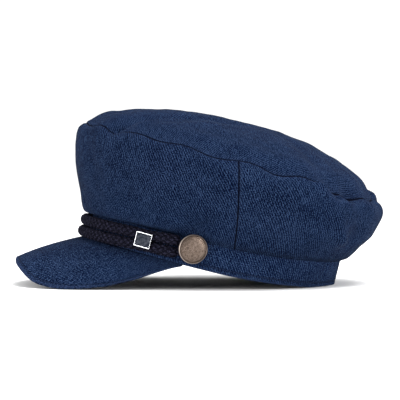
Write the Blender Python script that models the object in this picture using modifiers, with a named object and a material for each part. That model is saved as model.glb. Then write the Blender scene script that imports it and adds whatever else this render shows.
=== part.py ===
"""Breton fisherman cap in denim, lying on its peak and on the back of its band.

Metres, +Z up. The cap is laid out in its own frame, the cap frame: z = 0 is the bottom edge of
the band, -Y is the front and +X is the wearer's left. Angles go round the head in degrees, 0 at
the front and 90 at the wearer's left. At the end one empty tilts the whole cap so that it rests
on z = 0, with the origin under the middle of its bounding box.
"""

import math
from collections import namedtuple

import bmesh
import bpy
from mathutils import Matrix, Vector

# Fit and cloth
GAP = 0.0003
HEAD_LENGTH = 0.196
HEAD_WIDTH = 0.172
BAND_WALL = 0.0022
BAND_HEIGHT = 0.0208
BAND_BEND = 0.008
CROWN_WALL = 0.0016

# Crown: side panels that lean out from the band, and a domed top
CROWN_HEIGHT = 0.0735
FRONT_OVERHANG = 0.0287
REAR_OVERHANG = 0.0238
SIDE_OVERHANG = 0.029
DOME_RISE = 0.0233
DOME_CENTRE_Y = 0.0
SIDE_SEAM_FOOT_ANGLE = 98.0
SIDE_SEAM_TOP_ANGLE = 90.0
SEAM_WAVE_HEIGHT = 0.0010
SEAM_WAVE_COUNT = 17
SEAM_WAVE_START = 64.5

# Peak
PEAK_LENGTH = 0.0645
PEAK_WALL = 0.003
PEAK_END_WALL = 0.0012
PEAK_THIN_SHARE = 0.8
PEAK_TOP = 0.0005
PEAK_BULGE = 0.035
PEAK_TURN = 5.0
REST_SINK = 0.002

# Double cord, its slide and the two buttons
CORD_DIAMETER = 0.0089
CORD_FRONT_HEIGHT = 0.0082
CORD_SIDE_RISE = 0.0063
CORD_PINCHED_DIAMETER = 0.0044
CORD_END_DIAMETER = 0.0060
CORD_TAPER = 0.0035
SLIDE_ANGLE = 59.2
SLIDE_LENGTH = 0.0138
SLIDE_WALL = 0.0008
SLIDE_DEPTH = 0.0100
SLIDE_EDGE = 0.0003
BUTTON_ANGLE = 79.3
BUTTON_HEIGHT = 0.0142
BUTTON_RADIUS = 0.0114
BUTTON_THICKNESS = 0.0022
BUTTON_DOME = 0.0009
BUTTON_RIM = 0.0011
BUTTON_TILT = 24.0
SHANK_RADIUS = 0.0025

# Mesh fineness
COLUMN_ANGLE = 5.0
SIDE_ROWS = 9
TOP_ROWS = 7
TOP_ROW_SPREAD = 1.4
BAND_ROWS = 2
PEAK_COLUMNS = 36
PEAK_ROWS = 5
CORD_POINT_ANGLE = 2.9
CORD_RESOLUTION = 2
BUTTON_STEPS = 24
MERGE = 0.00001
STEP_ANGLE = 0.5
STEP_LEVEL = 0.01
NO_LENGTH = 1e-12

# How a side panel leans, from the band (level 0) to the top seam (level 1). The out columns are
# shares of the overhang in that direction, the up columns shares of the seam's height there.
SideRow = namedtuple("SideRow", "level front_out front_up side_out side_up rear_out rear_up")
SIDE_TABLE = [
    SideRow(0.00, 0.00, 0.00, 0.00, 0.00, 0.00, 0.00),
    SideRow(0.12, 0.27, -0.03, 0.30, 0.06, 0.24, 0.08),
    SideRow(0.28, 0.48, 0.17, 0.60, 0.23, 0.51, 0.26),
    SideRow(0.45, 0.69, 0.37, 0.83, 0.42, 0.79, 0.44),
    SideRow(0.62, 0.85, 0.57, 0.96, 0.61, 0.94, 0.65),
    SideRow(0.78, 0.97, 0.77, 1.00, 0.79, 1.00, 0.84),
    SideRow(0.90, 0.98, 0.92, 0.95, 0.92, 0.84, 0.96),
    SideRow(1.00, 0.82, 1.00, 0.84, 1.00, 0.53, 1.00),
]

# The domed top's fall from the crown's middle (reach 0) to the seam (reach 1), as a share.
DomeRow = namedtuple("DomeRow", "reach fall")
DOME_TABLE = [
    DomeRow(0.00, 0.00),
    DomeRow(0.30, 0.04),
    DomeRow(0.50, 0.15),
    DomeRow(0.70, 0.34),
    DomeRow(0.80, 0.48),
    DomeRow(0.90, 0.64),
    DomeRow(1.00, 1.00),
]

# Height of the top seam above the band all round, as a share of CROWN_HEIGHT.
SeamRow = namedtuple("SeamRow", "angle height")
SEAM_TABLE = [
    SeamRow(0, 0.893),
    SeamRow(25, 0.915),
    SeamRow(45, 0.925),
    SeamRow(70, 0.925),
    SeamRow(86, 0.900),
    SeamRow(98, 0.920),
    SeamRow(107, 0.870),
    SeamRow(119, 0.880),
    SeamRow(128, 0.760),
    SeamRow(140, 0.775),
    SeamRow(152, 0.735),
    SeamRow(180, 0.722),
    SeamRow(199, 0.788),
    SeamRow(213, 0.865),
    SeamRow(245, 0.890),
    SeamRow(290, 0.905),
    SeamRow(318, 0.905),
    SeamRow(340, 0.905),
]

# The peak's rim, from its middle (share 0) to either end (share 1). Angle is where that line of
# the peak meets the band. The others go from there, as shares of PEAK_LENGTH.
PeakRow = namedtuple("PeakRow", "share angle forward side drop")
PEAK_TABLE = [
    PeakRow(0.00, 0.0, 0.806, 0.000, 0.475),
    PeakRow(0.19, 16.0, 0.790, 0.174, 0.535),
    PeakRow(0.36, 31.0, 0.704, 0.279, 0.640),
    PeakRow(0.50, 45.0, 0.608, 0.250, 0.625),
    PeakRow(0.66, 60.0, 0.480, 0.121, 0.500),
    PeakRow(0.80, 69.0, 0.389, 0.059, 0.350),
    PeakRow(0.90, 73.5, 0.279, 0.045, 0.215),
    PeakRow(0.96, 76.0, 0.120, 0.040, 0.080),
    PeakRow(1.00, 77.5, 0.020, 0.030, 0.015),
]

# Folds and dents. A fold runs between two places on the crown, each an angle and a level: 0 is
# the band, 1 the top seam and 2 the crown's middle. Width and depth are shares of CROWN_HEIGHT,
# and a negative depth is a dent.
FOLD_FADE_LEVEL = 0.12
Fold = namedtuple("Fold", "start_angle start_level end_angle end_level width depth")
FOLD_TABLE = [
    Fold(36, 1.02, 50, 1.42, 0.12, -0.050),
    Fold(50, 1.42, 86, 1.66, 0.12, -0.030),
    Fold(55, 1.05, 70, 1.35, 0.12, 0.022),
    Fold(124, 1.00, 143, 0.40, 0.10, 0.050),
    Fold(141, 1.00, 152, 0.42, 0.13, -0.060),
    Fold(104, 0.95, 120, 0.45, 0.16, -0.022),
    Fold(80, 0.62, 88, 0.35, 0.24, -0.018),
    Fold(22, 0.90, 30, 0.55, 0.14, -0.015),
    Fold(80, 0.10, 80, 0.16, 0.19, -0.080),
    Fold(280, 0.10, 280, 0.16, 0.19, -0.080),
    Fold(322, 1.00, 306, 1.38, 0.13, -0.040),
    Fold(198, 0.92, 216, 0.94, 0.11, 0.042),
    Fold(236, 0.95, 226, 0.45, 0.13, -0.040),
    Fold(256, 0.95, 268, 0.50, 0.18, -0.024),
    Fold(335, 0.85, 342, 0.45, 0.16, -0.015),
]

DENIM_BLUE = (0.016, 0.040, 0.115, 1.0)
BAND_BLUE = (0.012, 0.032, 0.098, 1.0)
CORD_NAVY = (0.006, 0.008, 0.022, 1.0)
SLIDE_STEEL = (0.62, 0.64, 0.66, 1.0)
BUTTON_BRONZE = (0.30, 0.21, 0.15, 1.0)


def clear_scene():
    for item in list(bpy.data.objects):
        bpy.data.objects.remove(item, do_unlink=True)


def finish(name, colour, roughness, metallic):
    material = bpy.data.materials.new(name)
    material.use_nodes = True
    shader = material.node_tree.nodes["Principled BSDF"]
    shader.inputs["Base Color"].default_value = colour
    shader.inputs["Roughness"].default_value = roughness
    shader.inputs["Metallic"].default_value = metallic
    return material


def ease(share):
    """0 to 1 with level ends."""
    share = min(1.0, max(0.0, share))
    return share * share * (3.0 - 2.0 * share)


def hermite(x, x0, x1, y0, y1, slope0, slope1):
    span = x1 - x0
    t = (x - x0) / span
    return (
        (2 * t**3 - 3 * t**2 + 1) * y0
        + (t**3 - 2 * t**2 + t) * span * slope0
        + (3 * t**2 - 2 * t**3) * y1
        + (t**3 - t**2) * span * slope1
    )


def smooth_value(points, x):
    """A smooth curve through (x, y) points, read at x. The slope at a point is its neighbours'."""
    last = len(points) - 1
    index = next((i for i in range(last) if x <= points[i + 1][0]), last - 1)
    slopes = []
    for i in (index, index + 1):
        before, after = points[max(i - 1, 0)], points[min(i + 1, last)]
        slopes.append((after[1] - before[1]) / (after[0] - before[0]))
    (x0, y0), (x1, y1) = points[index], points[index + 1]
    return hermite(x, x0, x1, y0, y1, *slopes)


def side_shares(angle, level):
    """The out and up shares of the side table, blended between front, side and rear."""
    cosine = math.cos(math.radians(angle))
    weights = {
        "front": max(0.0, cosine) ** 2,
        "side": 1.0 - cosine**2,
        "rear": max(0.0, -cosine) ** 2,
    }
    shares = []
    for kind in ("out", "up"):
        total = 0.0
        for place, weight in weights.items():
            points = [(row.level, getattr(row, f"{place}_{kind}")) for row in SIDE_TABLE]
            total += weight * smooth_value(points, level)
        shares.append(total)
    return shares


def seam_height(angle):
    """Height of the top seam above the band, with the small waves that stitching draws into it."""
    angle = angle % 360.0
    first, last = SEAM_TABLE[0], SEAM_TABLE[-1]
    points = [(last.angle - 360.0, last.height)]
    points += [(row.angle, row.height) for row in SEAM_TABLE]
    points += [(first.angle + 360.0, first.height)]
    wave = SEAM_WAVE_HEIGHT * math.sin(math.radians(angle - SEAM_WAVE_START) * SEAM_WAVE_COUNT)
    return CROWN_HEIGHT * smooth_value(points, angle) + wave


def band_outline(angle, offset=0.0, height=0.0):
    """A point on the band's outer face, moved out by offset and up by height. The back half
    bends up a little, where the cap's own weight lays it flatter on the floor."""
    turn = math.radians(angle)
    half_width = HEAD_WIDTH / 2 + BAND_WALL + offset
    half_length = HEAD_LENGTH / 2 + BAND_WALL + offset
    bend = BAND_BEND * max(0.0, -math.cos(turn)) ** 2
    return Vector((half_width * math.sin(turn), -half_length * math.cos(turn), height + bend))


def outward(angle):
    """The level direction that points straight out of the band's outer face."""
    along = band_outline(angle + STEP_ANGLE) - band_outline(angle - STEP_ANGLE)
    return Vector((-along.y, along.x, 0.0)).normalized() * -1.0


def side_point(angle, level):
    turn = math.radians(angle)
    out, up = side_shares(angle, level)
    front_share = (1.0 + math.cos(turn)) / 2.0
    overhang = FRONT_OVERHANG * front_share + REAR_OVERHANG * (1.0 - front_share)
    lean = Vector((SIDE_OVERHANG * math.sin(turn), -overhang * math.cos(turn), 0.0))
    height = BAND_HEIGHT + GAP + up * seam_height(angle)
    return band_outline(angle) + out * lean + Vector((0.0, 0.0, height))


def top_point(angle, level):
    """The domed top, from the seam at level 1 to the middle of the crown at level 2."""
    seam = side_point(angle, 1.0)
    reach = 2.0 - level
    centre = Vector((0.0, DOME_CENTRE_Y, BAND_HEIGHT + GAP + CROWN_HEIGHT + DOME_RISE))
    point = centre.lerp(seam, reach)
    fall = smooth_value([(row.reach, row.fall) for row in DOME_TABLE], reach)
    point.z = centre.z - (centre.z - seam.z) * fall
    return point


def smooth_crown(angle, level):
    if level <= 1.0:
        return side_point(angle, max(0.0, level))
    return top_point(angle, min(2.0, level))


def surface_normal(surface, angle, level):
    """Normal by small steps. Near the top seam it is the seam's own, so that the cut edges of
    both pieces face each other squarely. At the crown's middle it is straight up."""
    level = 1.0 if abs(level - 1.0) < STEP_LEVEL else level
    low, high = max(0.0, level - STEP_LEVEL), min(2.0, level + STEP_LEVEL)
    round_head = surface(angle + STEP_ANGLE, level) - surface(angle - STEP_ANGLE, level)
    up_cloth = surface(angle, high) - surface(angle, low)
    normal = round_head.cross(up_cloth)
    if normal.length < NO_LENGTH:
        return Vector((0.0, 0.0, 1.0))
    return normal.normalized()


def fold_ends():
    """Each fold's two ends as points on the smooth crown."""
    ends = []
    for fold in FOLD_TABLE:
        start = smooth_crown(fold.start_angle, fold.start_level)
        end = smooth_crown(fold.end_angle, fold.end_level)
        ends.append((fold, start, end))
    return ends


FOLD_ENDS = fold_ends()


def fold_offset(point, level):
    """How far the folds push the cloth out at a point. They fade out where it is sewn to the band."""
    total = 0.0
    for fold, start, end in FOLD_ENDS:
        run = end - start
        along = max(0.0, min(1.0, (point - start).dot(run) / run.length_squared))
        distance = (point - start - along * run).length
        width = fold.width * CROWN_HEIGHT
        total += fold.depth * CROWN_HEIGHT * math.exp(-((distance / width) ** 2))
    return total * ease(level / FOLD_FADE_LEVEL)


def crown_point(angle, level):
    point = smooth_crown(angle, level)
    normal = surface_normal(smooth_crown, angle, level)
    return point + normal * fold_offset(point, level)


def crown_cloth(angle, level, depth):
    """A point in the crown's cloth. Depth is 0 on the outer face and 1 on the inner face."""
    normal = surface_normal(crown_point, angle, level)
    return crown_point(angle, level) - normal * CROWN_WALL * depth


def cloth_piece(name, material, columns, rows, place, closed=False):
    """Cuts a flat pattern as a grid, gives it a back face, and bends it to place(u, v, depth).
    A closed pattern goes all round the head, and its two short ends meet."""
    cloth = bmesh.new()
    bmesh.ops.create_grid(cloth, x_segments=columns, y_segments=rows, size=0.5)
    bmesh.ops.translate(cloth, verts=cloth.verts, vec=(0.5, 0.5, 0.0))
    made = bmesh.ops.extrude_face_region(cloth, geom=cloth.faces[:], use_keep_orig=True)
    back = [item for item in made["geom"] if isinstance(item, bmesh.types.BMVert)]
    bmesh.ops.translate(cloth, verts=back, vec=(0.0, 0.0, -1.0))
    if closed:
        half_cell = 0.5 / columns
        ends = [
            face
            for face in cloth.faces
            if all(vert.co.x < half_cell for vert in face.verts)
            or all(vert.co.x > 1.0 - half_cell for vert in face.verts)
        ]
        bmesh.ops.delete(cloth, geom=ends, context="FACES")
    for vert in cloth.verts:
        vert.co = place(vert.co.x, vert.co.y, -vert.co.z)
    bmesh.ops.remove_doubles(cloth, verts=cloth.verts, dist=MERGE)
    loose = [edge for edge in cloth.edges if not edge.link_faces]
    bmesh.ops.delete(cloth, geom=loose, context="EDGES")
    bmesh.ops.recalc_face_normals(cloth, faces=cloth.faces)
    return mesh_object(name, material, cloth)


def mesh_object(name, material, shape):
    mesh = bpy.data.meshes.new(name)
    shape.to_mesh(mesh)
    shape.free()
    mesh.shade_smooth()
    mesh.set_sharp_from_angle(angle=math.radians(40.0))
    mesh.materials.append(material)
    return bpy.data.objects.new(name, mesh)


def crown_panel(name, material, middle_angle):
    """A side panel, from the band to the top seam. Gaps part it from its neighbours, and the
    seams at its sides lean forward as they go up."""
    side_gap = math.degrees(GAP / 2 / (HEAD_WIDTH / 2))
    top_level = 1.0 - GAP / 2 / CROWN_HEIGHT
    to_rear = middle_angle / 180.0

    def place(u, v, depth):
        seam_angle = SIDE_SEAM_FOOT_ANGLE + (SIDE_SEAM_TOP_ANGLE - SIDE_SEAM_FOOT_ANGLE) * v
        half_span = seam_angle + (180.0 - 2 * seam_angle) * to_rear - side_gap
        return crown_cloth(middle_angle - half_span + 2 * half_span * u, v * top_level, depth)

    return cloth_piece(name, material, round(180.0 / COLUMN_ANGLE), SIDE_ROWS, place)


def crown_top(material):
    """The top piece. Its rows start close together at the seam, and the last one is the middle."""
    dome_reach = HEAD_LENGTH / 2 + FRONT_OVERHANG
    seam_level = 1.0 + GAP / 2 / dome_reach

    def place(u, v, depth):
        return crown_cloth(360.0 * u, seam_level + (2.0 - seam_level) * v**TOP_ROW_SPREAD, depth)

    return cloth_piece("crown_top", material, round(360.0 / COLUMN_ANGLE), TOP_ROWS, place, closed=True)


def band(material, tilt):
    """The band. Where its back would sink into the floor, the cloth is pressed flat instead."""

    def place(u, v, depth):
        point = band_outline(360.0 * u, -BAND_WALL * depth, BAND_HEIGHT * v)
        point.z = max(point.z, floor_height(point.y, tilt))
        return point

    return cloth_piece("band", material, round(360.0 / COLUMN_ANGLE), BAND_ROWS, place, closed=True)


def peak_value(column, share):
    return smooth_value([(row.share, getattr(row, column)) for row in PEAK_TABLE], abs(share))


def peak_surface(share, reach):
    """The peak's upper face. Share goes from -1 at its right end to 1 at its left end, and reach
    from 0 at the band to 1 at the rim."""
    side = math.copysign(1.0, share)
    start = band_outline(side * peak_value("angle", share), GAP, PEAK_TOP)
    run = PEAK_LENGTH * Vector(
        (side * peak_value("side", share), -peak_value("forward", share), -peak_value("drop", share))
    )
    swell = Vector((0.0, 0.0, PEAK_BULGE * run.length * 4.0 * reach * (1.0 - reach)))
    return start + run * reach + swell


def peak_point(share, reach, depth):
    """A point in the peak. Its wall goes straight down at the band and square to it further out."""
    step = 0.02
    low, high = max(-1.0, share - step), min(1.0, share + step)
    across = peak_surface(high, reach) - peak_surface(low, reach)
    along = peak_surface(share, min(1.0, reach + step)) - peak_surface(share, max(0.0, reach - step))
    square = across.cross(along).normalized()
    square = square if square.z < 0 else -square
    from_band = reach * PEAK_LENGTH * peak_value("forward", share)
    turned = ease(from_band / (PEAK_TURN * PEAK_WALL))
    down = Vector((0.0, 0.0, -1.0)).lerp(square, turned).normalized()
    thinned = ease((abs(share) - PEAK_THIN_SHARE) / (1.0 - PEAK_THIN_SHARE))
    wall = PEAK_WALL + (PEAK_END_WALL - PEAK_WALL) * thinned
    return peak_surface(share, reach) + down * wall * depth


def peak(material):
    def place(u, v, depth):
        return peak_point(2.0 * u - 1.0, v, depth)

    return cloth_piece("peak", material, PEAK_COLUMNS, PEAK_ROWS, place)


def rest_tilt():
    """The angle at which the cap lies: the peak's rim and the pressed back of the band touch."""
    rear = band_outline(180.0)
    tilts = []
    for column in range(PEAK_COLUMNS + 1):
        for depth in (0.0, 1.0):
            rim = peak_point(2.0 * column / PEAK_COLUMNS - 1.0, 1.0, depth)
            tilts.append(math.atan2(rear.z + REST_SINK - rim.z, rear.y - rim.y))
    return max(tilts)


def floor_height(y, tilt):
    """Height of the floor in the cap frame, at a distance y behind the middle."""
    rear = band_outline(180.0)
    return rear.z + REST_SINK - (rear.y - y) * math.tan(tilt)


def cord_height(angle):
    """Height of the line between the two cords."""
    return CORD_FRONT_HEIGHT + CORD_SIDE_RISE * (1.0 - math.cos(math.radians(angle)))


def arc_angle(length):
    """The angle round the head that a short length of the band covers."""
    return math.degrees(length / ((HEAD_LENGTH + HEAD_WIDTH) / 4))


def cord_end_angle():
    """The cords stop just short of the buttons' shanks."""
    return BUTTON_ANGLE - arc_angle(SHANK_RADIUS + 4 * GAP)


def cord_radius(angle):
    """A cord is pinched by the slide and pressed flatter where it goes under a button."""
    taper = arc_angle(CORD_TAPER)
    from_slide = abs(angle - SLIDE_ANGLE) - arc_angle(SLIDE_LENGTH / 2 + GAP)
    from_button = BUTTON_ANGLE - arc_angle(BUTTON_RADIUS) - abs(angle)
    pinched = CORD_PINCHED_DIAMETER + (CORD_DIAMETER - CORD_PINCHED_DIAMETER) * ease(from_slide / taper)
    pressed = CORD_END_DIAMETER + (CORD_DIAMETER - CORD_END_DIAMETER) * ease(1.0 + from_button / taper)
    return min(pinched, pressed) / 2


def cord_angles():
    """Even steps along a cord, and the places where it changes thickness."""
    end = cord_end_angle()
    count = round(2 * end / CORD_POINT_ANGLE)
    angles = [end * (2.0 * index / count - 1.0) for index in range(count + 1)]
    taper = arc_angle(CORD_TAPER)
    bends = []
    for side in (-1.0, 1.0):
        for share in (0.0, 0.5, 1.0):
            from_slide = arc_angle(SLIDE_LENGTH / 2 + GAP) + taper * share
            bends.append(SLIDE_ANGLE + side * from_slide)
            bends.append(side * (BUTTON_ANGLE - arc_angle(BUTTON_RADIUS) + taper * share))
    kept = [angle for angle in angles if all(abs(angle - bend) > taper / 4 for bend in bends)]
    return sorted(kept + bends)


def cord(name, material, side):
    """One run of the cord over the peak, from button to button. Side is 1 above and -1 below."""
    angles = cord_angles()
    curve = bpy.data.curves.new(name, "CURVE")
    curve.dimensions = "3D"
    curve.bevel_depth = CORD_DIAMETER / 2
    curve.bevel_resolution = CORD_RESOLUTION
    curve.use_fill_caps = True
    line = curve.splines.new("POLY")
    line.points.add(len(angles) - 1)
    for angle, point in zip(angles, line.points):
        radius = cord_radius(angle)
        height = cord_height(angle) + side * (radius + GAP / 2)
        near_slide = abs(angle - SLIDE_ANGLE) < arc_angle(SLIDE_LENGTH / 2 + CORD_TAPER)
        offset = GAP + (max(radius, SLIDE_DEPTH / 2) if near_slide else radius)
        point.co = (*band_outline(angle, offset, height), 1.0)
        point.radius = radius / (CORD_DIAMETER / 2)
    curve.materials.append(material)
    return bpy.data.objects.new(name, curve)


def slide(material):
    """A square metal loop that both cords are pulled through."""
    inner_height = 2 * CORD_PINCHED_DIAMETER + 3 * GAP
    outer_height = inner_height + 2 * SLIDE_WALL
    shape = bmesh.new()
    bmesh.ops.create_cube(shape, size=1.0)
    bmesh.ops.scale(shape, verts=shape.verts, vec=(SLIDE_LENGTH, SLIDE_DEPTH, outer_height))
    ends = [face for face in shape.faces if abs(face.normal.x) > 0.5]
    bmesh.ops.inset_individual(shape, faces=ends, thickness=SLIDE_WALL)
    bmesh.ops.bridge_loops(shape, edges=list({edge for face in ends for edge in face.edges}))
    bmesh.ops.delete(shape, geom=ends, context="FACES_ONLY")
    outer = [
        edge
        for edge in shape.edges
        if edge.is_manifold
        and edge.calc_face_angle(0.0) > 1.0
        and max(abs(vert.co.z) for vert in edge.verts) > inner_height / 2 + SLIDE_WALL / 2
    ]
    bmesh.ops.bevel(shape, geom=outer, offset=SLIDE_EDGE, segments=1, affect="EDGES", profile=0.5, material=-1)
    bmesh.ops.recalc_face_normals(shape, faces=shape.faces)
    loop = mesh_object("slide", material, shape)
    loop.location = band_outline(SLIDE_ANGLE, GAP, cord_height(SLIDE_ANGLE))
    loop.location += outward(SLIDE_ANGLE) * SLIDE_DEPTH / 2
    facing = outward(SLIDE_ANGLE)
    loop.rotation_euler.z = math.atan2(facing.x, -facing.y)
    return loop


def button(name, material, side):
    """A round metal button on a shank. The cords under its front half tip it backwards."""
    back = BUTTON_THICKNESS
    outline = [
        (0.0, back + BUTTON_DOME),
        (BUTTON_RADIUS * 0.5, back + BUTTON_DOME * 0.75),
        (BUTTON_RADIUS - BUTTON_RIM * 1.4, back),
        (BUTTON_RADIUS - BUTTON_RIM, back + BUTTON_RIM * 0.35),
        (BUTTON_RADIUS - BUTTON_RIM * 0.3, back + BUTTON_RIM * 0.3),
        (BUTTON_RADIUS, back - BUTTON_RIM * 0.3),
        (BUTTON_RADIUS - BUTTON_RIM * 0.3, 0.0),
        (SHANK_RADIUS, 0.0),
        (SHANK_RADIUS, -shank_length()),
        (0.0, -shank_length()),
    ]
    profile = bmesh.new()
    corners = [profile.verts.new((radius, 0.0, height)) for radius, height in outline]
    for start, end in zip(corners, corners[1:]):
        profile.edges.new((start, end))
    disc = mesh_object(name, material, profile)
    spin = disc.modifiers.new("spin", "SCREW")
    spin.steps = BUTTON_STEPS
    spin.render_steps = BUTTON_STEPS
    spin.use_merge_vertices = True
    spin.merge_threshold = MERGE
    spin.use_normal_calculate = True
    angle = side * BUTTON_ANGLE
    facing = outward(angle)
    tipped = Matrix.Rotation(math.radians(side * BUTTON_TILT), 3, "Z") @ facing
    disc.rotation_mode = "QUATERNION"
    disc.rotation_quaternion = tipped.to_track_quat("Z", "X")
    disc.location = band_outline(angle, GAP + shank_tip(), BUTTON_HEIGHT) + tipped * shank_length()
    return disc


def shank_tip():
    """The tipped shank's foot is lifted by this much, so that its low corner clears the band."""
    return SHANK_RADIUS * math.sin(math.radians(BUTTON_TILT))


def shank_length():
    """Long enough for the cords' flattened ends to lie under the button's front half."""
    tilt = math.radians(BUTTON_TILT)
    over_cords = CORD_END_DIAMETER + GAP
    return (over_cords - shank_tip()) / math.cos(tilt)


def lay_down(pieces, tilt):
    """Parents the pieces to one empty, tilts it, and centres the whole over the origin."""
    cap = bpy.data.objects.new("cap", None)
    cap.rotation_euler.x = -tilt
    collection = bpy.data.collections.new("breton_fisherman_cap")
    bpy.context.scene.collection.children.link(collection)
    for item in [cap, *pieces]:
        collection.objects.link(item)
    for piece in pieces:
        piece.parent = cap
    bpy.context.view_layer.update()
    graph = bpy.context.evaluated_depsgraph_get()
    corners = [
        piece.matrix_world @ vert.co
        for piece in pieces
        for vert in piece.evaluated_get(graph).to_mesh().vertices
    ]
    low = Vector([min(corner[axis] for corner in corners) for axis in range(3)])
    high = Vector([max(corner[axis] for corner in corners) for axis in range(3)])
    cap.location = (-(low.x + high.x) / 2, -(low.y + high.y) / 2, -low.z)
    bpy.context.view_layer.update()
    return cap


def build():
    clear_scene()
    denim = finish("denim", DENIM_BLUE, 0.9, 0.0)
    band_denim = finish("band_denim", BAND_BLUE, 0.9, 0.0)
    cord_cotton = finish("cord_cotton", CORD_NAVY, 0.85, 0.0)
    steel = finish("brushed_steel", SLIDE_STEEL, 0.3, 1.0)
    bronze = finish("aged_bronze", BUTTON_BRONZE, 0.5, 1.0)
    tilt = rest_tilt()
    pieces = [
        crown_panel("crown_front", denim, 0.0),
        crown_panel("crown_rear", denim, 180.0),
        crown_top(denim),
        band(band_denim, tilt),
        peak(denim),
        cord("cord_upper", cord_cotton, 1),
        cord("cord_lower", cord_cotton, -1),
        slide(steel),
        button("button_left", bronze, 1),
        button("button_right", bronze, -1),
    ]
    return lay_down(pieces, tilt)


build()
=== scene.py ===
import math

import bmesh
import bpy
import numpy as np
from mathutils import Matrix, Vector


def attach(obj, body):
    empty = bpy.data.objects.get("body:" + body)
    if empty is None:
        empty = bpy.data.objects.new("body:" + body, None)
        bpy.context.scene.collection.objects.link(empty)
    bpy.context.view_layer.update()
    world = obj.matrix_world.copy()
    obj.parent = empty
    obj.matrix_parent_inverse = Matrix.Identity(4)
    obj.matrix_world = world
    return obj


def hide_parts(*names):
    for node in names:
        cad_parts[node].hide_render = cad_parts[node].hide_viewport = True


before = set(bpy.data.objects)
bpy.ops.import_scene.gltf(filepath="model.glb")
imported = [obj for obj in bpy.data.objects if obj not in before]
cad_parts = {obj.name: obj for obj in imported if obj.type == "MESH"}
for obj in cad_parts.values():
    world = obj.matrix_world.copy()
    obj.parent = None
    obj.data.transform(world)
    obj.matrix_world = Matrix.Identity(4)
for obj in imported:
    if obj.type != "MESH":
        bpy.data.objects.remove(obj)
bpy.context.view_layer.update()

# The cap is worked out as it is worn, in its own frame: the band's lower edge at height 0, the
# front towards -Y. Angles go round the head in degrees, 0 at the front, 90 at the wearer's left.
# capToWorld lays it down as the solids lie.
fit = {
    "headLength": 0.196,
    "headWidth": 0.172,
    "bandWall": 0.0022,
    "bandHeight": 0.0208,
    "bandBend": 0.008,
    "gap": 0.0003,
    "restTilt": 13.828,
    "restSink": 0.002,
    "restPlace": (-0.00008, 0.00861, 0.01424),
}

crown = {
    "wall": 0.0016,
    "height": 0.0735,
    "frontOverhang": 0.0287,
    "rearOverhang": 0.0238,
    "sideOverhang": 0.029,
    "domeRise": 0.0233,
    "seamFootAngle": 98.0,
    "seamTopAngle": 90.0,
    "seamWave": 0.0010,
    "seamWaves": 17,
    "seamWaveStart": 64.5,
    "seamRoll": 0.0008,       # how deep the sewn edges turn in
    "seamRollWidth": 0.0010,
    "footRollStart": 0.0004,  # the foot turns in a little less
    "tuck": 0.0010,           # how far its foot goes down into the band
    "pucker": 0.00026,        # small gathers beside the stitching
    "puckerLength": 0.0072,
    "puckerRadius": 0.11,
    "puckerReach": 0.0065,
    "puckerStart": 0.0012,
    "softness": 0.00034,      # unevenness of cloth that has been worn
    "softLength": 0.030,
    "fineLength": 0.011,
    "fineShare": 0.4,
    "flatBySeam": 0.006,
    "roundRadius": 0.115,     # for lengths along its seams
    "weaveRadius": 0.112,
    "weaveHeight": 0.084,
    "panelColumns": 300,
    "panelRows": 92,
    "topColumns": 460,
    "topRows": 84,
}

# level, then out and up shares at the front, side and rear
leanTable = [
    (0.00, 0.00, 0.00, 0.00, 0.00, 0.00, 0.00),
    (0.12, 0.27, -0.03, 0.30, 0.06, 0.24, 0.08),
    (0.28, 0.48, 0.17, 0.60, 0.23, 0.51, 0.26),
    (0.45, 0.69, 0.37, 0.83, 0.42, 0.79, 0.44),
    (0.62, 0.85, 0.57, 0.96, 0.61, 0.94, 0.65),
    (0.78, 0.97, 0.77, 1.00, 0.79, 1.00, 0.84),
    (0.90, 0.98, 0.92, 0.95, 0.92, 0.84, 0.96),
    (1.00, 0.82, 1.00, 0.84, 1.00, 0.53, 1.00),
]

# reach from the crown's middle, fall
domeTable = [(0.0, 0.0), (0.3, 0.04), (0.5, 0.15), (0.7, 0.34), (0.8, 0.48), (0.9, 0.64), (1.0, 1.0)]

# angle, height of the top seam as a share of the crown's
seamTable = [
    (0, 0.893), (25, 0.915), (45, 0.925), (70, 0.925), (86, 0.900), (98, 0.920), (107, 0.870),
    (119, 0.880), (128, 0.760), (140, 0.775), (152, 0.735), (180, 0.722), (199, 0.788),
    (213, 0.865), (245, 0.890), (290, 0.905), (318, 0.905), (340, 0.905),
]

# start angle and level, end angle and level, width, depth (minus is a dent)
foldTable = [
    (36, 1.02, 50, 1.42, 0.12, -0.056),
    (50, 1.42, 86, 1.66, 0.12, -0.030),
    (55, 1.05, 70, 1.35, 0.12, 0.022),
    (124, 1.00, 143, 0.40, 0.10, 0.050),
    (141, 1.00, 152, 0.42, 0.13, -0.060),
    (104, 0.95, 120, 0.45, 0.16, -0.022),
    (80, 0.62, 88, 0.35, 0.24, -0.018),
    (22, 0.90, 30, 0.55, 0.14, -0.015),
    (80, 0.10, 80, 0.16, 0.19, -0.080),
    (280, 0.10, 280, 0.16, 0.19, -0.080),
    (322, 1.00, 306, 1.38, 0.13, -0.040),
    (198, 0.92, 216, 0.94, 0.11, 0.042),
    (236, 0.95, 226, 0.45, 0.13, -0.040),
    (256, 0.95, 268, 0.50, 0.18, -0.024),
    (335, 0.85, 342, 0.45, 0.16, -0.015),
]

# the finer creases that lie on those folds, in the same columns
creaseTable = [
    (37, 1.03, 48, 1.36, 0.050, -0.034),
    (50, 1.40, 84, 1.62, 0.050, -0.016),
    (46, 1.08, 62, 1.40, 0.050, 0.014),
    (122, 0.98, 141, 0.42, 0.055, 0.029),
    (133, 0.95, 148, 0.42, 0.055, -0.037),
    (140, 0.60, 150, 0.10, 0.035, -0.012),
    (112, 0.80, 118, 0.62, 0.050, -0.008),
    (70, 0.55, 77, 0.40, 0.045, -0.007),
    (88, 0.30, 80, 0.16, 0.040, -0.010),
    (60, 0.20, 70, 0.14, 0.040, -0.008),
    (12, 0.30, 20, 0.14, 0.040, -0.007),
]


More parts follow.
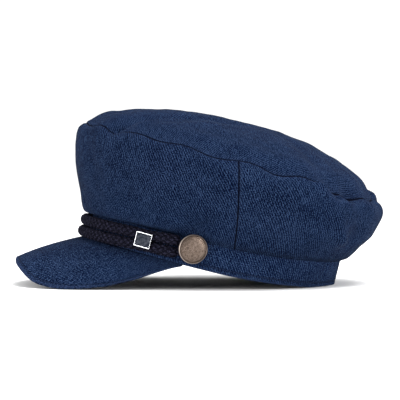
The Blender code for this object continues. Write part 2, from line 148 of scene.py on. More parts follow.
def ease(share):
    share = np.clip(share, 0.0, 1.0)
    return share * share * (3.0 - 2.0 * share)


def curveThrough(points, x):
    # a smooth curve through (x, y) points, whose slope at a point is its neighbours'
    xs, ys = np.array(points, float).T
    count = len(xs)
    before = np.maximum(np.arange(count) - 1, 0)
    after = np.minimum(np.arange(count) + 1, count - 1)
    slopes = (ys[after] - ys[before]) / (xs[after] - xs[before])
    left = np.clip(np.searchsorted(xs, x) - 1, 0, count - 2)
    span = xs[left + 1] - xs[left]
    t = (x - xs[left]) / span
    return (
        (2 * t**3 - 3 * t**2 + 1) * ys[left]
        + (t**3 - 2 * t**2 + t) * span * slopes[left]
        + (3 * t**2 - 2 * t**3) * ys[left + 1]
        + (t**3 - t**2) * span * slopes[left + 1]
    )


def capToWorld(points):
    tilt = math.radians(fit["restTilt"])
    x, y, z = np.moveaxis(points, -1, 0)
    cosine, sine = math.cos(tilt), math.sin(tilt)
    return np.stack([x, y * cosine + z * sine, z * cosine - y * sine], -1) + np.array(fit["restPlace"])


def unit(vectors):
    return vectors / np.maximum(np.linalg.norm(vectors, axis=-1, keepdims=True), 1e-12)


def bandFace(angle, out=0.0, up=0.0):
    turn = np.radians(angle)
    halfWidth = fit["headWidth"] / 2 + fit["bandWall"] + out
    halfLength = fit["headLength"] / 2 + fit["bandWall"] + out
    bend = fit["bandBend"] * np.maximum(0.0, -np.cos(turn)) ** 2
    columns = [halfWidth * np.sin(turn), -halfLength * np.cos(turn), up + bend]
    return np.stack(np.broadcast_arrays(*columns), -1)


def outOfBand(angle):
    along = bandFace(angle + 0.5) - bandFace(angle - 0.5)
    return unit(np.stack([along[..., 1], -along[..., 0], np.zeros_like(along[..., 0])], -1))


def floorHeight(y):
    # the floor's height in the cap's own frame
    rear = bandFace(np.array(180.0))
    return rear[2] + fit["restSink"] - (rear[1] - y) * math.tan(math.radians(fit["restTilt"]))


def seamHeight(angle):
    angle = angle % 360.0
    first, last = seamTable[0], seamTable[-1]
    points = [(last[0] - 360.0, last[1]), *seamTable, (first[0] + 360.0, first[1])]
    wave = crown["seamWave"] * np.sin(np.radians(angle - crown["seamWaveStart"]) * crown["seamWaves"])
    return crown["height"] * curveThrough(points, angle) + wave


def sidePoint(angle, level):
    turn = np.radians(angle)
    cosine = np.cos(turn)
    weights = [np.maximum(0.0, cosine) ** 2, 1.0 - cosine**2, np.maximum(0.0, -cosine) ** 2]
    out, up = 0.0, 0.0
    for side, weight in enumerate(weights):
        out = out + weight * curveThrough([(row[0], row[1 + 2 * side]) for row in leanTable], level)
        up = up + weight * curveThrough([(row[0], row[2 + 2 * side]) for row in leanTable], level)
    frontShare = (1.0 + cosine) / 2.0
    overhang = crown["frontOverhang"] * frontShare + crown["rearOverhang"] * (1.0 - frontShare)
    lean = np.stack([crown["sideOverhang"] * np.sin(turn), -overhang * cosine, np.zeros_like(turn)], -1)
    point = bandFace(angle) + out[..., None] * lean
    point[..., 2] += fit["bandHeight"] + fit["gap"] + up * seamHeight(angle)
    return point


def topPoint(angle, level):
    seam = sidePoint(angle, np.ones_like(level))
    reach = 2.0 - level
    top = fit["bandHeight"] + fit["gap"] + crown["height"] + crown["domeRise"]
    point = seam * reach[..., None]
    point[..., 2] = top - (top - seam[..., 2]) * curveThrough(domeTable, reach)
    return point


def smoothCrown(angle, level):
    side = sidePoint(angle, np.clip(level, 0.0, 1.0))
    top = topPoint(angle, np.clip(level, 1.0, 2.0))
    return np.where((level <= 1.0)[..., None], side, top)


def surfaceNormal(surface, angle, level):
    level = np.where(np.abs(level - 1.0) < 0.01, 1.0, level)
    low, high = np.maximum(0.0, level - 0.01), np.minimum(2.0, level + 0.01)
    around = surface(angle + 0.5, level) - surface(angle - 0.5, level)
    upwards = surface(angle, high) - surface(angle, low)
    normal = np.cross(around, upwards)
    normal[np.linalg.norm(normal, axis=-1) < 1e-12] = (0.0, 0.0, 1.0)
    return unit(normal)


def foldPush(point, level):
    push = np.zeros(len(point))
    for startAngle, startLevel, endAngle, endLevel, width, depth in foldTable + creaseTable:
        angles = np.array([startAngle, endAngle], float)
        levels = np.array([startLevel, endLevel], float)
        start, end = smoothCrown(angles, levels)
        run = end - start
        along = np.clip((point - start) @ run / (run @ run), 0.0, 1.0)
        away = np.linalg.norm(point - start - along[:, None] * run, axis=1)
        push += depth * crown["height"] * np.exp(-((away / (width * crown["height"])) ** 2))
    return push * ease(level / 0.12)


def softNoise(point, length, seed):
    # a seeded sum of waves in many directions, about from -1 to 1
    chance = np.random.default_rng(seed)
    total = np.zeros(len(point))
    for step in range(9):
        direction = unit(chance.normal(size=3))
        pitch = length * (0.7 + 0.6 * chance.random())
        total += np.sin(point @ direction * 2 * math.pi / pitch + chance.random() * 2 * math.pi)
    return total / 4.0


def crownPoint(angle, level):
    point = smoothCrown(angle, level)
    return point + surfaceNormal(smoothCrown, angle, level) * foldPush(point, level)[:, None]


def crownCloth(angle, level, toSeams):
    # toSeams lists the distances to the sewn edges in metres, the top seam's first
    point = crownPoint(angle, level)
    normal = surfaceNormal(crownPoint, angle, level)
    push = crown["softness"] * softNoise(point, crown["softLength"], 3)
    push += crown["softness"] * crown["fineShare"] * softNoise(point, crown["fineLength"], 5)
    nearest, fromTopSeam = np.minimum.reduce(toSeams), toSeams[0]
    push *= ease(nearest / crown["flatBySeam"])
    phase = 2 * math.pi * np.radians(angle) * crown["puckerRadius"] / crown["puckerLength"]
    gather = np.sin(phase + 1.5 * softNoise(point, crown["softLength"], 8))
    push -= crown["seamRoll"] * np.exp(-((nearest / crown["seamRollWidth"]) ** 2))
    fading = np.exp(-fromTopSeam / crown["puckerReach"])
    push += crown["pucker"] * gather * fading * ease(fromTopSeam / crown["puckerStart"])
    return point + normal * push[:, None]


def clothPiece(name, columns, rows, place, wall=0.0, closed=False, edgeWidth=0.0):
    # bends a flat grid to place(u, v), which gives points, the weave's map and the distance to an edge
    sheet = bmesh.new()
    bmesh.ops.create_grid(sheet, x_segments=columns, y_segments=rows, size=0.5)
    flat = np.array([vert.co[:2] for vert in sheet.verts]) + 0.5
    points, weave, edge = place(flat[:, 0], flat[:, 1])
    weaveMap = sheet.loops.layers.uv.new("weave")
    edgeMap = sheet.loops.layers.uv.new("edge")
    for face in sheet.faces:
        for loop in face.loops:
            index = loop.vert.index
            loop[weaveMap].uv = weave[index]
            loop[edgeMap].uv = edge[index]
    for vert, point in zip(sheet.verts, capToWorld(points)):
        vert.co = point
    bmesh.ops.remove_doubles(sheet, verts=sheet.verts, dist=0.00001)
    if closed:
        bmesh.ops.holes_fill(sheet, edges=sheet.edges, sides=0)
    bmesh.ops.recalc_face_normals(sheet, faces=sheet.faces)
    middle = sum((vert.co for vert in sheet.verts), Vector()) / len(sheet.verts)
    facing = 0.0
    for face in sheet.faces:
        facing += (face.calc_center_median() - middle).dot(face.normal) * face.calc_area()
    if facing < 0:
        bmesh.ops.reverse_faces(sheet, faces=sheet.faces)
    piece = finishedPiece(name, sheet)
    if wall:
        thickness = piece.modifiers.new("clothWall", "SOLIDIFY")
        thickness.thickness = wall
        thickness.offset = -1.0
        thickness.use_even_offset = True
    if edgeWidth:
        softEdge = piece.modifiers.new("softEdge", "BEVEL")
        softEdge.width = edgeWidth
        softEdge.segments = 2
        softEdge.limit_method = "ANGLE"
        softEdge.angle_limit = math.radians(60.0)
    return piece


def finishedPiece(name, shape):
    mesh = bpy.data.meshes.new(name)
    shape.to_mesh(mesh)
    shape.free()
    mesh.shade_smooth()
    piece = bpy.data.objects.new(name, mesh)
    bpy.context.scene.collection.objects.link(piece)
    return piece


def inSteadyOrder(shape):
    # bmesh can hand over what it made in another order each run, so it is sorted by place
    across = Vector((1.0, 0.6180, 0.2839))
    shape.verts.sort(key=lambda vert: vert.co.dot(across))
    shape.edges.sort(key=lambda edge: (edge.verts[0].co + edge.verts[1].co).dot(across))
    shape.faces.sort(key=lambda face: face.calc_center_median().dot(across))
    return shape


def dress(piece, node, slot, *finishes):
    for finish in finishes:
        piece.data.materials.append(finish)
    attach(piece, "root")
    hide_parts(node)


# Shader sums

class Wire:
    # a shader socket that can be added, multiplied and so on
    def __init__(self, recipe, socket):
        self.recipe, self.socket = recipe, socket

    def __add__(self, other):
        return self.recipe.sum("ADD", self, other)

    def __sub__(self, other):
        return self.recipe.sum("SUBTRACT", self, other)

    def __rsub__(self, other):
        return self.recipe.sum("SUBTRACT", other, self)

    def __mul__(self, other):
        return self.recipe.sum("MULTIPLY", self, other)

    def __truediv__(self, other):
        return self.recipe.sum("DIVIDE", self, other)

    def __pow__(self, other):
        return self.recipe.sum("POWER", self, other)

    __radd__ = __add__
    __rmul__ = __mul__


class Recipe:
    # one material and the nodes that it is made of
    def __init__(self, name):
        self.material = bpy.data.materials.new(name)
        self.material.use_nodes = True
        self.tree = self.material.node_tree
        self.shader = self.tree.nodes["Principled BSDF"]

    def feed(self, socket, value):
        if isinstance(value, Wire):
            self.tree.links.new(value.socket, socket)
        else:
            socket.default_value = value

    def node(self, kind, settings, inputs, output=0):
        made = self.tree.nodes.new(kind)
        for key, value in settings.items():
            setattr(made, key, value)
        for key, value in inputs.items():
            self.feed(made.inputs[key], value)
        return Wire(self, made.outputs[output])

    def sum(self, operation, first, second=0.0):
        return self.node("ShaderNodeMath", {"operation": operation}, {0: first, 1: second})

    def split(self, vector):
        return [self.node("ShaderNodeSeparateXYZ", {}, {0: vector}, axis) for axis in range(3)]

    def join(self, x, y, z=0.0):
        return self.node("ShaderNodeCombineXYZ", {}, {0: x, 1: y, 2: z})

    def map(self, name):
        return self.split(self.node("ShaderNodeUVMap", {"uv_map": name}, {}))[:2]

    def noise(self, vector, scale, detail=2.0, roughness=0.5):
        return self.node("ShaderNodeTexNoise", {}, {
            "Vector": vector, "Scale": scale, "Detail": detail, "Roughness": roughness,
        })

    def between(self, value, low, high, start=0.0, end=1.0):
        return self.node("ShaderNodeMapRange", {"interpolation_type": "SMOOTHSTEP"}, {
            "Value": value, "From Min": low, "From Max": high, "To Min": start, "To Max": end,
        })

    def mix(self, share, first, second):
        return self.node("ShaderNodeMix", {"data_type": "RGBA"}, {0: share, 6: first, 7: second}, 2)

    def bump(self, height, distance, strength=1.0):
        inputs = {"Height": height, "Distance": distance, "Strength": strength}
        return self.node("ShaderNodeBump", {}, inputs)

    def finish(self, **values):
        names = {
            "colour": "Base Color", "roughness": "Roughness", "metallic": "Metallic", "normal": "Normal",
            "specular": "Specular IOR Level",
        }
        for key, value in values.items():
            self.feed(self.shader.inputs[names[key]], value)
        return self.material


denimLook = {
    "dark": (0.0005, 0.0024, 0.0118, 1.0),
    "middle": (0.0065, 0.0153, 0.0470, 1.0),
    "pale": (0.0345, 0.0620, 0.1330, 1.0),
    "worn": (0.0260, 0.0430, 0.0960, 1.0),
    "seam": (0.0004, 0.0010, 0.0050, 1.0),
    "thread": (0.026, 0.040, 0.088, 1.0),
    "seamWidth": 0.00080,
    "twillPitch": 0.00210,
    "twillLean": 0.62,
    "stitchPitch": 0.0027,
    "stitchWidth": 0.00036,
    "grooveWidth": 0.0013,
    "edgeWearWidth": 0.0022,
}


def toned(colour, gain):
    return (*(channel * gain for channel in colour[:3]), 1.0)


def denim(name, stitchRows, gain, wear=1.0, seams=False):
    # indigo twill. The weave map is in metres, and the edge map holds metres to the nearest edge
    cloth = Recipe(name)
    tones = ("dark", "middle", "pale", "worn", "thread")
    dark, middle, pale, worn, thread = (toned(denimLook[tone], gain) for tone in tones)
    across, along = cloth.map("weave")
    edge, run = cloth.map("edge")
    drift = cloth.noise(cloth.join(across, along), 160.0, 1.0)
    slope = across + along * denimLook["twillLean"] + drift * 0.0012
    ribs = cloth.sum("SINE", slope * (2 * math.pi / denimLook["twillPitch"])) * 0.5 + 0.5
    slubs = cloth.noise(cloth.join(across * 1200.0, along * 140.0), 1.0, 2.0, 0.6)
    picks = cloth.noise(cloth.join(across * 200.0, along * 1350.0), 1.0, 2.0, 0.6)
    flecks = cloth.noise(cloth.join(across * 1450.0, along * 1150.0), 1.0, 1.5, 0.6)
    wash = cloth.noise(cloth.join(across, along), 46.0, 3.0, 0.55)
    yarnTone = slubs * 0.36 + picks * 0.18 + flecks * 0.60 + ribs * 0.20 + wash * 0.13
    colour = cloth.mix(cloth.between(yarnTone, 0.66, 0.82), dark, middle)
    fleckMask = cloth.between(flecks + slubs * 0.40 + ribs * 0.10 + wash * 0.10, 0.82, 0.94)
    colour = cloth.mix(fleckMask * 0.9, colour, pale)
    nearEdge = cloth.between(edge, 0.0, denimLook["edgeWearWidth"], 1.0, 0.0)
    edgeWear = nearEdge * cloth.between(flecks + wash * 0.3, 0.50, 0.85)
    colour = cloth.mix(edgeWear * (0.7 * wear), colour, worn)
    height = ribs * 0.25 + slubs * 0.5 + flecks * 0.7
    if seams:
        ragged = edge + (flecks - 0.5) * 0.0004
        seamLine = cloth.between(ragged, denimLook["seamWidth"] * 0.5, denimLook["seamWidth"], 1.0, 0.0)
        colour = cloth.mix(seamLine * 0.9, colour, denimLook["seam"])
    if stitchRows:
        stitches, groove = 0.0, 0.0
        for distance in stitchRows:
            apart = cloth.sum("ABSOLUTE", edge - distance)
            row = cloth.between(apart, denimLook["stitchWidth"] * 0.5, denimLook["stitchWidth"], 1.0, 0.0)
            beat = cloth.sum("SINE", run * (2 * math.pi / denimLook["stitchPitch"]))
            stitches = row * cloth.between(beat, -0.75, -0.35) + stitches
            groove = cloth.between(apart, 0.0, denimLook["grooveWidth"], 1.0, 0.0) + groove
        # the groove beside each stitch row is painted darker: painted shade in the dip, which the bump
        # below also sinks
        colour = cloth.mix(groove * 0.9, colour, dark)
        colour = cloth.mix(stitches * 0.6, colour, thread)
        height = height - groove * 0.9 + stitches * 1.6
    return cloth.finish(
        colour=colour,
        roughness=0.93 - fleckMask * 0.08,
        normal=cloth.bump(height, 0.00026, 0.8),
        specular=0.02,
    )


# Crown: a front and a rear panel, and the round top

crownDenim = denim("crownDenim", [], gain=0.74, wear=0.8, seams=True)


def panel(name, middleAngle):
    toRear = middleAngle / 180.0

    def place(u, v):
        seamAngle = crown["seamFootAngle"] + (crown["seamTopAngle"] - crown["seamFootAngle"]) * v
        halfSpan = seamAngle + (180.0 - 2 * seamAngle) * toRear
        angle = middleAngle - halfSpan + 2 * halfSpan * u
        toTop = (1.0 - v) * crown["height"]
        toSide = np.minimum(u, 1.0 - u) * 2 * np.radians(halfSpan) * crown["roundRadius"]
        toBand = v * crown["height"]
        points = crownCloth(angle, v, [toTop, toSide, toBand + crown["footRollStart"]])
        points[:, 2] -= crown["tuck"] * np.exp(-((toBand / crown["seamRollWidth"]) ** 2))
        weave = np.stack([np.radians(angle) * crown["weaveRadius"], v * crown["weaveHeight"]], -1)
        edge = np.stack([np.minimum(toTop, toSide), np.radians(angle) * crown["roundRadius"]], -1)
        return points, weave, edge

    return clothPiece(name, crown["panelColumns"], crown["panelRows"], place, crown["wall"])


def roundTop(name):
    reachLength = fit["headLength"] / 2 + crown["frontOverhang"]

    def place(u, v):
        angle = 360.0 * u
        level = 1.0 + v**1.25
        toSeam = (level - 1.0) * reachLength
        points = crownCloth(angle, level, [toSeam])
        edge = np.stack([toSeam, np.radians(angle) * crown["roundRadius"]], -1)
        # the weave runs out over the dome, so it isn't stretched where the cloth falls to the seam
        flat = points[:, [1, 0]]
        fall = points[:, 2].max() - points[:, 2]
        weave = flat * (1.0 + 0.8 * fall / np.maximum(np.linalg.norm(flat, axis=1), 0.02))[:, None]
        return points, weave, edge

    return clothPiece(name, crown["topColumns"], crown["topRows"], place, crown["wall"])


dress(panel("crownFrontCloth", 0.0), "crown_front", "denim", crownDenim)
dress(panel("crownRearCloth", 180.0), "crown_rear", "denim", crownDenim)
dress(roundTop("crownTopCloth"), "crown_top", "denim", crownDenim)
print("crown sewn")


# Band, with a row of topstitching near its lower edge

band = {
    "stitchHeight": 0.0038,
    "stitchGroove": 0.00030,
    "stitchGrooveWidth": 0.0007,
    "ripple": 0.00008,        # small waves that the stitching pulls into the hem
    "rippleLength": 0.0054,
    "rippleReach": 0.0016,
    "softness": 0.00025,
    "softLength": 0.045,
    "crease": 0.0009,         # one upright crease at the rear left
    "creaseAngle": 150.0,
    "creaseLean": 120.0,      # degrees round the head for each metre up
    "creaseWidth": 1.3,
    "tuck": 0.0006,           # how far its top edge goes up into the crown's foot
    "edgeWidth": 0.0007,
    "roundRadius": 0.094,     # for lengths along its stitching
    "weaveRadius": 0.096,
    "edgeReach": 0.012,       # its edge map stops growing this far up from the lower edge
    "columns": 520,
    "rows": 36,
}
# the band's denim is the crown's made lighter (gain 0.96 against 0.74): painted light, standing in for
# light that reaches the band under the crown's overhang
bandDenimLit = denim("bandDenimLit", [band["stitchHeight"]], gain=0.96)


def bandPlace(u, v):
    angle = 360.0 * u
    height = (fit["bandHeight"] + band["tuck"]) * v
    flat = bandFace(angle, 0.0, height)
    push = band["softness"] * softNoise(flat, band["softLength"], 21) * ease(v * (1.0 - v) * 6.0)
    push -= band["softness"] * 0.3
    fromStitches = height - band["stitchHeight"]
    push -= band["stitchGroove"] * np.exp(-((fromStitches / band["stitchGrooveWidth"]) ** 2))
    ripples = np.sin(2 * math.pi * np.radians(angle) * band["roundRadius"] / band["rippleLength"])
    push += band["ripple"] * ripples * np.exp(-((fromStitches / band["rippleReach"]) ** 2))
    fromCrease = angle - band["creaseAngle"] - height * band["creaseLean"]
    push -= band["crease"] * np.exp(-((fromCrease / band["creaseWidth"]) ** 2)) * ease(v * 3.0)
    points = flat + outOfBand(angle) * push[:, None]
    pressed = np.maximum(0.0, floorHeight(points[:, 1]) - (points[:, 2] - height))
    points[:, 2] += pressed * (1.0 - v)
    roundLength = np.radians(angle) * band["weaveRadius"]
    weave = np.stack([roundLength, height], -1)
    edge = np.stack([np.minimum(height, band["edgeReach"]), roundLength], -1)
    return points, weave, edge


bandCloth = clothPiece(
    "bandCloth", band["columns"], band["rows"], bandPlace, fit["bandWall"], edgeWidth=band["edgeWidth"],
)
dress(bandCloth, "band", "band_denim", bandDenimLit)
print("band sewn")


# Peak: a stiff board covered in denim, rounded over at its rim

peak = {
    "length": 0.0645,
    "wall": 0.003,
    "endWall": 0.0012,
    "thinFrom": 0.8,          # share of the way round to its ends
    "top": 0.0005,
    "bulge": 0.035,
    "turn": 5.0,
    "stitchInset": 0.0034,
    "stitchGroove": 0.00016,
    "stitchGrooveWidth": 0.0006,
    "softness": 0.00012,
    "softLength": 0.03,
    "flatByEdge": 0.004,
    "weaveHalfWidth": 0.120,
    "weaveLength": 0.058,
    "weaveBelow": 0.07,       # where the underside's weave starts
    "columns": 300,
    "topRows": 34,
    "rimRows": 10,
    "backRows": 3,
}
peakRows = 2 * peak["topRows"] + peak["rimRows"] + peak["backRows"]
peakDenim = denim("peakDenim", [peak["stitchInset"]], gain=0.85, wear=1.3)

# share, angle, then forward, side and drop as shares of the length
peakTable = [
    (0.00, 0.0, 0.806, 0.000, 0.475),
    (0.19, 16.0, 0.790, 0.174, 0.535),
    (0.36, 31.0, 0.704, 0.279, 0.640),
    (0.50, 45.0, 0.608, 0.250, 0.625),
    (0.66, 60.0, 0.480, 0.121, 0.500),
    (0.80, 69.0, 0.389, 0.059, 0.350),
    (0.90, 73.5, 0.279, 0.045, 0.215),
    (0.96, 76.0, 0.120, 0.040, 0.080),
    (1.00, 77.5, 0.020, 0.030, 0.015),
]


def peakValue(column, share):
    return curveThrough([(row[0], row[column]) for row in peakTable], np.abs(share))


def peakRun(share):
    side = np.where(share < 0, -1.0, 1.0)
    columns = [side * peakValue(3, share), -peakValue(2, share), -peakValue(4, share)]
    return peak["length"] * np.stack(columns, -1)


def peakFace(share, reach):
    side = np.where(share < 0, -1.0, 1.0)
    run = peakRun(share)
    point = bandFace(side * peakValue(1, share), fit["gap"], peak["top"]) + run * reach[:, None]
    point[:, 2] += peak["bulge"] * np.linalg.norm(run, axis=1) * 4.0 * reach * (1.0 - reach)
    return point


def peakPlace(u, v):
    share = 2.0 * u - 1.0
    runLength = np.linalg.norm(peakRun(share), axis=1)
    thinned = ease((np.abs(share) - peak["thinFrom"]) / (1.0 - peak["thinFrom"]))
    wall = peak["wall"] + (peak["endWall"] - peak["wall"]) * thinned
    rim = np.minimum(wall / 2 / runLength, 0.45)
    # the rows go out over the top, round the rim, back along the underside and up the back
    row = np.round(v * peakRows)
    rimStart, bottomEnd = peak["topRows"], peakRows - peak["backRows"]
    rimEnd = rimStart + peak["rimRows"]
    curl = np.clip((row - rimStart) / peak["rimRows"], 0.0, 1.0) * math.pi
    overTop = row / rimStart * (1.0 - rim)
    roundRim = 1.0 - rim + rim * np.sin(curl)
    underneath = np.clip((bottomEnd - row) / peak["topRows"], 0, 1) * (1.0 - rim)
    reach = np.where(row < rimStart, overTop, np.where(row <= rimEnd, roundRim, underneath))
    upBack = 1.0 - (row - bottomEnd) / peak["backRows"]
    depth = np.where(row <= bottomEnd, (1.0 - np.cos(curl)) / 2.0, upBack)
    step = 0.02
    low, high = np.maximum(-1.0, share - step), np.minimum(1.0, share + step)
    across = peakFace(high, reach) - peakFace(low, reach)
    near, far = np.maximum(0.0, reach - step), np.minimum(1.0, reach + step)
    along = peakFace(share, far) - peakFace(share, near)
    square = unit(np.cross(across, along))
    square = np.where(square[:, 2:] < 0, square, -square)
    fromBand = reach * peak["length"] * peakValue(2, share)
    turned = ease(fromBand / (peak["turn"] * peak["wall"]))[:, None]
    down = unit(np.array([0.0, 0.0, -1.0]) * (1.0 - turned) + square * turned)
    face = peakFace(share, reach)
    fromRim = (1.0 - reach) * runLength
    fromStitches = fromRim - peak["stitchInset"]
    groove = peak["stitchGroove"] * np.exp(-((fromStitches / peak["stitchGrooveWidth"]) ** 2))
    groove *= 1.0 - 2.0 * depth
    soft = peak["softness"] * softNoise(face, peak["softLength"], 31)
    soft *= np.clip(fromRim / peak["flatByEdge"], 0.0, 1.0)
    soft *= ease(fromBand / peak["flatByEdge"])
    points = face + down * (wall * depth + groove + soft)[:, None]
    rimLine = share * peak["weaveHalfWidth"]
    weaveStart = np.where(row > rimEnd, peak["weaveBelow"], 0.0)
    weave = np.stack([rimLine, reach * peak["weaveLength"] + weaveStart], -1)
    edge = np.stack([np.where((row >= rimStart) & (row <= rimEnd), 0.0, fromRim), rimLine], -1)
    return points, weave, edge


peakCloth = clothPiece("peakCloth", peak["columns"], peakRows, peakPlace, closed=True)
dress(peakCloth, "peak", "denim", peakDenim)
print("peak covered")


# The double cord, plaited, held all the way from button to button

cord = {
    "diameter": 0.0089,
    "frontHeight": 0.0082,
    "sideRise": 0.0063,
    "pinched": 0.0044,
    "underButton": 0.0060,    # the room between the band and a button
    "pressed": 0.0066,
    "taper": 0.0035,
    "strands": 6,
    "plaitLength": 0.0052,
    "plaitDepth": 0.00095,
    "keptInSlide": 0.0085,    # soft cord bulges round the slide's upper and lower bars
    "endRounding": 130.0,     # the more, the blunter its two ends
    "around": 72,
    "along": 820,
}
slide = {
    "angle": 59.2, "length": 0.0138, "wall": 0.0008, "depth": 0.0100, "corner": 0.0003, "rounding": 0.0002,
    "frame": 0.00028, "frameSlope": 0.0002, "sunk": 0.00025,
}
button = {
    "angle": 79.3, "height": 0.0142, "radius": 0.0114, "thickness": 0.0022, "dome": 0.0009, "rim": 0.0011,
    "tilt": 24.0, "shankRadius": 0.0025, "dots": 40, "dotRadius": 0.00042, "dotCircle": 0.0089,
}


def arcAngle(length):
    return math.degrees(length / ((fit["headLength"] + fit["headWidth"]) / 4))


def cordHeight(angle):
    return cord["frontHeight"] + cord["sideRise"] * (1.0 - np.cos(np.radians(angle)))


def cordRadius(angle):
    taper = arcAngle(cord["taper"])
    fromSlide = np.abs(angle - slide["angle"]) - arcAngle(slide["length"] / 2 + fit["gap"])
    fromButton = button["angle"] - arcAngle(button["radius"]) - np.abs(angle)
    pinched = cord["keptInSlide"] + (cord["diameter"] - cord["keptInSlide"]) * ease(fromSlide / taper)
    pressed = cord["pressed"] + (cord["diameter"] - cord["pressed"]) * ease(1.0 + fromButton / taper)
    return np.minimum(pinched, pressed) / 2


def cordLine(angle, side):
    radius = cordRadius(angle)
    offset = fit["gap"] + radius
    return bandFace(angle, offset, cordHeight(angle) + side * (radius + fit["gap"] / 2))


def plait(turn, along):
    # two families of strands that pass over and under each other, 0 in the cracks and 1 on the crests
    first = turn * cord["strands"] + along / cord["plaitLength"]
    second = turn * cord["strands"] - along / cord["plaitLength"]
    firstBack = 1.0 - (2.0 * (first % 1.0) - 1.0) ** 2
    secondBack = 1.0 - (2.0 * (second % 1.0) - 1.0) ** 2
    firstOver = (np.floor(first) + np.floor(second)) % 2 < 1
    over = np.where(firstOver, firstBack, secondBack)
    under = np.where(firstOver, secondBack, firstBack)
    return over**0.6 * (0.55 + 0.45 * under)


def cordPiece(name, node, side, finish):
    end = button["angle"] - arcAngle(button["shankRadius"] + 4 * fit["gap"])

    def place(u, v):
        angle = end * (2.0 * u - 1.0)
        centre = cordLine(angle, side)
        ahead = unit(cordLine(angle + 0.2, side) - cordLine(angle - 0.2, side))
        up = unit(np.array([0.0, 0.0, 1.0]) - ahead * ahead[:, 2:])
        out = np.cross(ahead, up)
        metres = np.radians(angle) * (fit["headLength"] + fit["headWidth"]) / 4
        radius = cordRadius(angle)
        closing = np.sqrt(np.clip((1.0 - np.abs(2.0 * u - 1.0)) * cord["endRounding"], 0.0, 1.0))
        crest = plait(v, metres)
        around = 2 * math.pi * v
        size = (radius - cord["plaitDepth"] * (1.0 - crest)) * closing
        points = centre + (up * np.cos(around)[:, None] + out * np.sin(around)[:, None]) * size[:, None]
        weave = np.stack([v, metres], -1)
        return points, weave, np.stack([crest, metres], -1)

    piece = clothPiece(name, cord["along"], cord["around"], place, closed=True)
    dress(piece, node, "cord_cotton", finish)


def cordCotton(name):
    yarn = Recipe(name)
    turn, along = yarn.map("weave")
    crest = yarn.map("edge")[0]
    first = turn * cord["strands"] + along / cord["plaitLength"]
    second = turn * cord["strands"] - along / cord["plaitLength"]
    fibresOne = yarn.noise(yarn.join(first * 7.0, second * 0.9), 1.0, 2.0, 0.6)
    fibresTwo = yarn.noise(yarn.join(second * 7.0, first * 0.9, 4.0), 1.0, 2.0, 0.6)
    fibres = yarn.sum("MAXIMUM", fibresOne, fibresTwo)
    tufts = yarn.noise(yarn.join(turn * 30.0, along * 1100.0), 1.0, 2.0, 0.5)
    # the plait's crests are painted lighter and its cracks darker: painted light and painted shade
    lit = yarn.between(crest, 0.35, 1.0) * yarn.between(fibres, 0.40, 0.75)
    colour = yarn.mix(lit, (0.0003, 0.0004, 0.0018, 1.0), (0.0038, 0.0044, 0.0130, 1.0))
    # painted highlights on the fibre tips, most of them on the plait's crests
    tipHighlights = yarn.between(tufts + fibres * 0.5, 0.70, 0.88) * (0.15 + lit * 0.85)
    colour = yarn.mix(tipHighlights * 0.75, colour, (0.052, 0.050, 0.084, 1.0))
    return yarn.finish(
        colour=colour,
        roughness=0.90,
        normal=yarn.bump(fibres + tufts * 0.6, 0.00022, 0.8),
        specular=0.03,
    )


cordNavy = cordCotton("cordNavy")
cordPiece("cordUpperPlait", "cord_upper", 1, cordNavy)
cordPiece("cordLowerPlait", "cord_lower", -1, cordNavy)
print("cords plaited")


# Slide: a square loop with a polished frame and a dull sunk face

def placedMatrix(place, turned):
    # from the piece's own frame to the cap's, and on to the world
    tilt = Matrix.Rotation(-math.radians(fit["restTilt"]), 4, "X")
    return Matrix.Translation(fit["restPlace"]) @ tilt @ Matrix.Translation(place) @ turned


def slideShape():
    innerHeight = 2 * cord["pinched"] + 3 * fit["gap"]
    outerHeight = innerHeight + 2 * slide["wall"]
    loop = bmesh.new()
    bmesh.ops.create_cube(loop, size=1.0)
    bmesh.ops.scale(loop, verts=loop.verts, vec=(slide["length"], slide["depth"], outerHeight))
    lengthwise = [e for e in loop.edges if abs((e.verts[0].co - e.verts[1].co).normalized().x) > 0.9]
    bmesh.ops.bevel(
        loop, geom=lengthwise, offset=slide["corner"], segments=5, affect="EDGES", profile=0.5, material=-1,
    )
    loop.faces.ensure_lookup_table()
    shown = [face for face in loop.faces if face.normal.y < -0.99]
    bmesh.ops.inset_region(loop, faces=shown, thickness=slide["frame"], depth=0.0)
    bmesh.ops.inset_region(loop, faces=shown, thickness=slide["frameSlope"], depth=-slide["sunk"])
    # finish 1 is the dull one: the sunk face, the bars' edges and the back, and then the inside
    for face in loop.faces:
        face.material_index = 1 if face in shown or face.normal.y > -0.2 else 0
    ends = [face for face in loop.faces if abs(face.normal.x) > 0.99]
    bmesh.ops.inset_individual(loop, faces=ends, thickness=slide["wall"])
    endEdges = [edge for edge in loop.edges if any(face in ends for face in edge.link_faces)]
    bmesh.ops.bridge_loops(loop, edges=endEdges)
    bmesh.ops.delete(loop, geom=ends, context="FACES_ONLY")
    for face in loop.faces:
        middle = face.calc_center_median()
        between = abs(middle.z) < innerHeight / 2 and abs(face.normal.x) < 0.9
        behindFace = face.normal.y > -0.2 or middle.y > -slide["depth"] / 2 + slide["wall"] * 0.5
        if between and behindFace and face not in shown:
            face.material_index = 1
    bmesh.ops.recalc_face_normals(loop, faces=loop.faces)
    facing = outOfBand(np.array(slide["angle"]))
    start = bandFace(np.array(slide["angle"]), fit["gap"], float(cordHeight(slide["angle"])))
    turned = Matrix.Rotation(math.atan2(facing[0], -facing[1]), 4, "Z")
    loop.transform(placedMatrix(Vector(start + facing * slide["depth"] / 2), turned))
    piece = finishedPiece("slideLoop", inSteadyOrder(loop))
    rounded = piece.modifiers.new("rounded", "BEVEL")
    rounded.width = slide["rounding"]
    rounded.segments = 2
    rounded.limit_method = "ANGLE"
    rounded.angle_limit = math.radians(35.0)
    return piece


